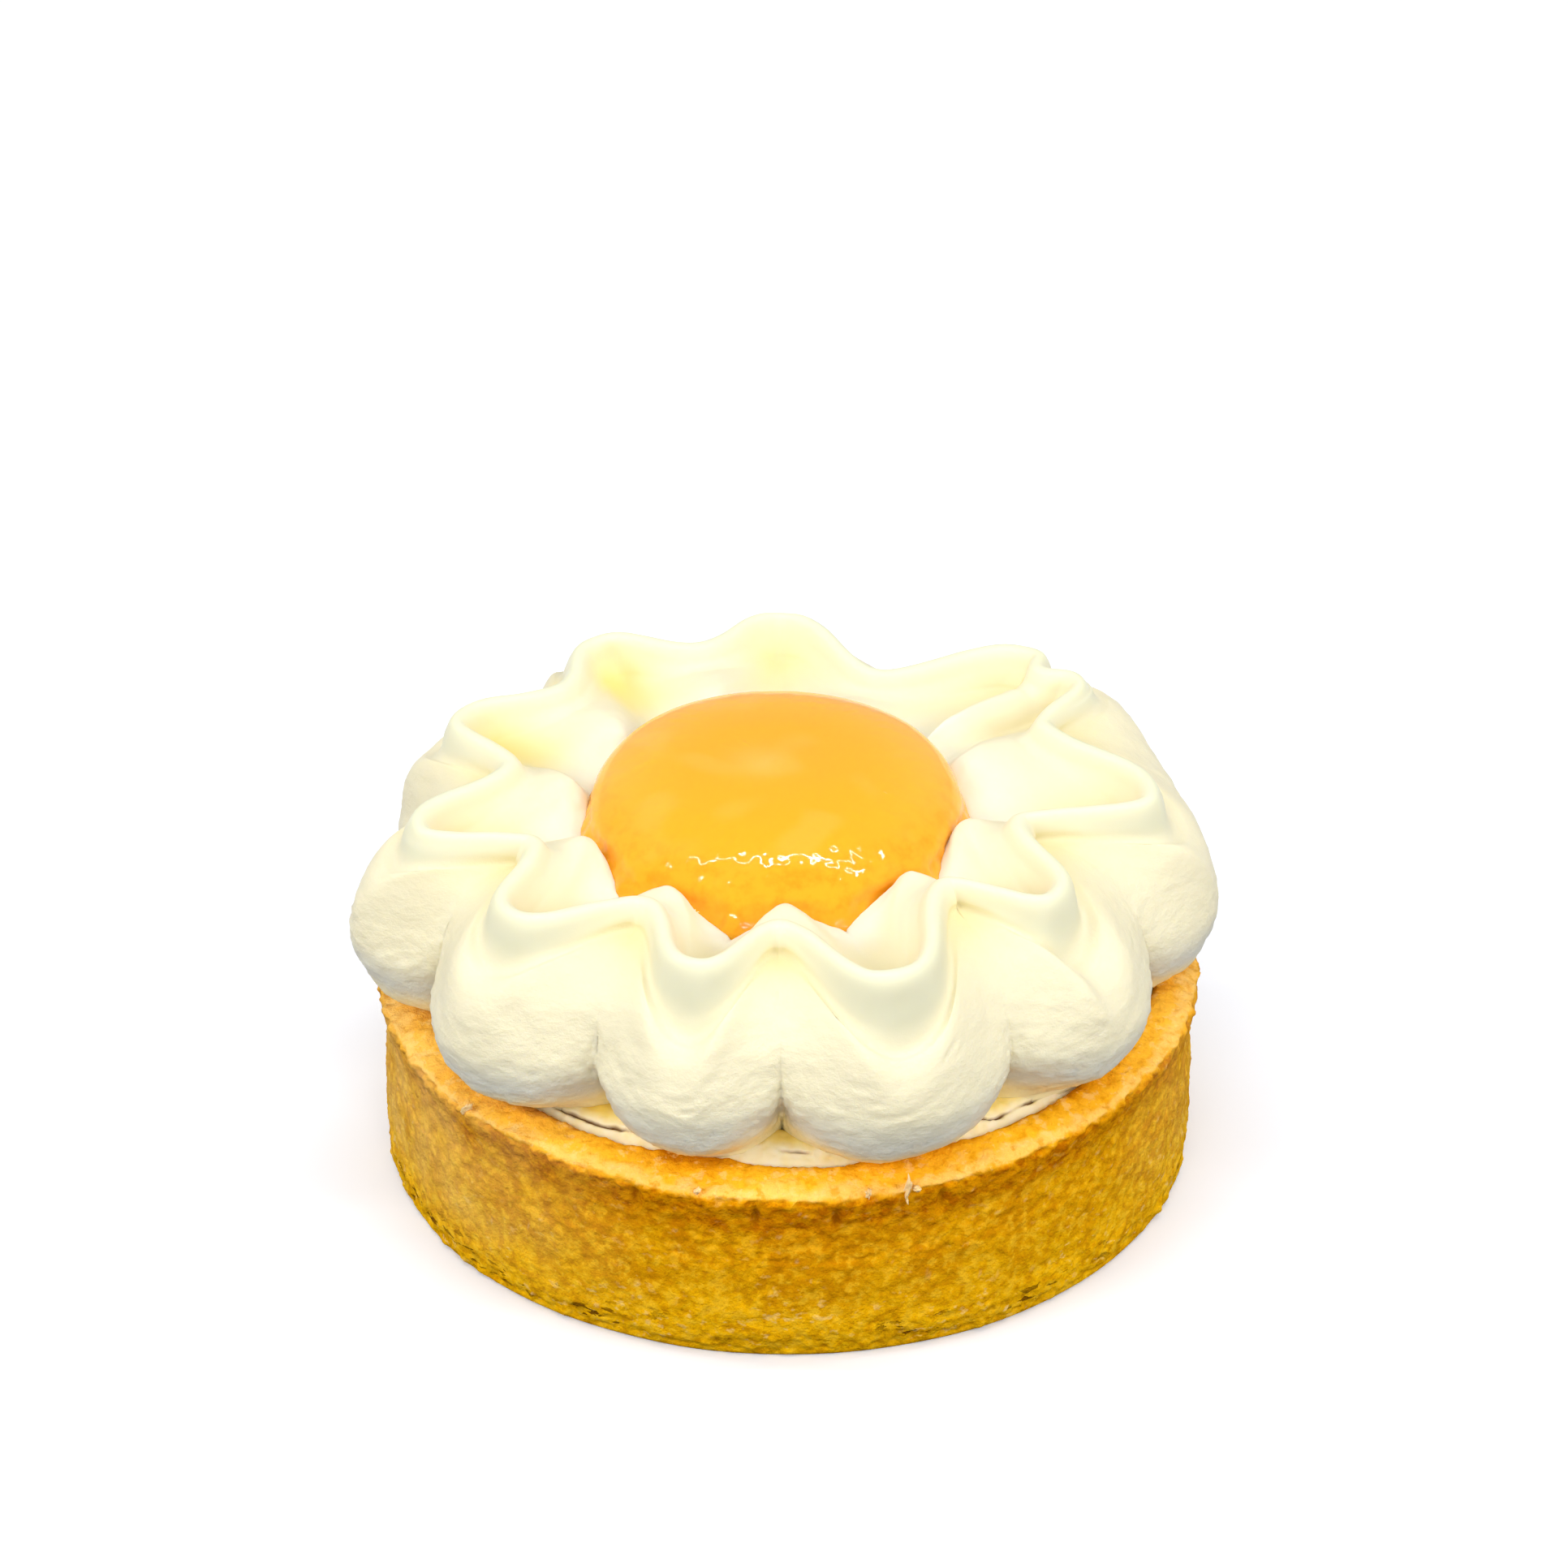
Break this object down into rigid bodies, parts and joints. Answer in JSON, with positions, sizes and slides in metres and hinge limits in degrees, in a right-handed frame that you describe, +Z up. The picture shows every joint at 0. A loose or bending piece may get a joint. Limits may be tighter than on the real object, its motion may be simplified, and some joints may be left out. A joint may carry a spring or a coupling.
{
  "type": "apple cream cheese tart",
  "caption": "Small round tart: a straight-sided pastry cup holds baked cream cheese, topped by a scalloped ring of piped cream round a glossy domed apple jelly centre.",
  "frame": {"origin": "middle of the flat base, on the surface the tart stands on", "axes": "+Z up through the middle of the tart, -Y towards the side where the crust's rim is lowest"},
  "size_m": [0.0835, 0.0804, 0.042],
  "materials": {
    "pastry": "dry, grainy, golden brown",
    "cheese": "soft matt baked top",
    "cream": "satin, moist",
    "jelly": "wet gloss"
  },
  "bodies": {
    "root": {"pastry_crust": "pastry", "cream_cheese_filling": "cheese", "whipped_cream_ring": "cream", "apple_jelly": "jelly"}
  },
  "joints": []
}
